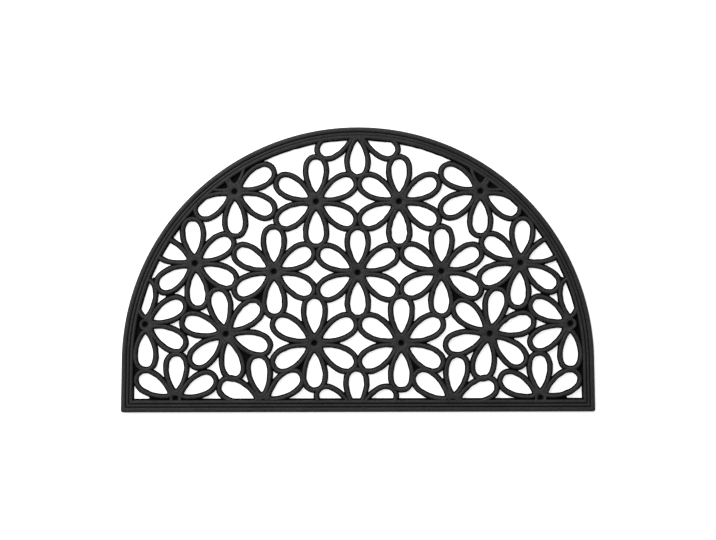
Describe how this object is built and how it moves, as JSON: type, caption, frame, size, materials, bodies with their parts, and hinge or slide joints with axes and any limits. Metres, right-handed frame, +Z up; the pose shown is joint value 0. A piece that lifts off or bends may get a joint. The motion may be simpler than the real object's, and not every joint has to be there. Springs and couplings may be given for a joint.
{
  "type": "rubber doormat",
  "caption": "Half-round rubber doormat: an openwork of joined flower shapes inside a ridged border. It lies flat at a door and scrapes shoes clean.",
  "frame": {"origin": "middle of the box's lower face, on the floor under the mat", "axes": "+X along the straight edge, +Y from the straight edge to the top of the arch, +Z up from the floor"},
  "size_m": [0.75, 0.45, 0.008],
  "materials": {
    "rubber": "satin moulded rubber, slightly paler and smoother on the tops of the ribs"
  },
  "bodies": {
    "root": {"mat": "rubber"}
  },
  "joints": []
}
